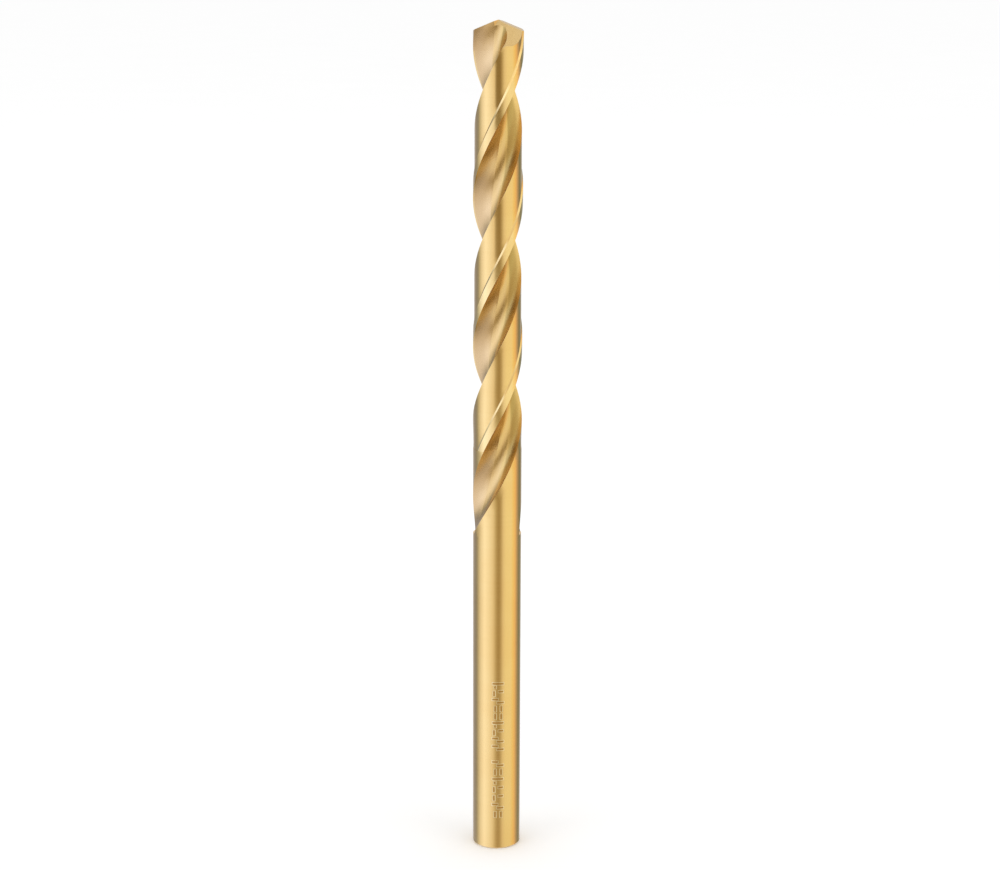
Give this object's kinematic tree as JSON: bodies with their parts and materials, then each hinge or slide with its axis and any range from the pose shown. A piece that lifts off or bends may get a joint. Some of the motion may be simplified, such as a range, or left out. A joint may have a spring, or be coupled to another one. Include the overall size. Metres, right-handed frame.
{
  "type": "twist drill bit",
  "caption": "Right-hand jobber-length twist drill with a plain round shank, gold-coloured wear coating and a split point.",
  "frame": {"origin": "centre of the flat end face of the shank", "axes": "+Z along the drill's axis towards the point, -Y is the side that faces the viewer"},
  "size_m": [0.005, 0.005, 0.086],
  "materials": {
    "coated_shank": "satin gold nitride coating over ground high speed steel",
    "coated_lands": "satin gold nitride coating, fine circumferential grinding lines",
    "coated_flutes": "gold nitride coating over ground flutes",
    "coated_point": "gold nitride coating over freshly ground facets"
  },
  "bodies": {
    "root": {"shank": "coated_shank", "flute_runout": "coated_lands", "fluted_body": "coated_flutes", "margin_1": "coated_lands", "margin_2": "coated_lands", "drill_point": "coated_point"}
  },
  "joints": []
}
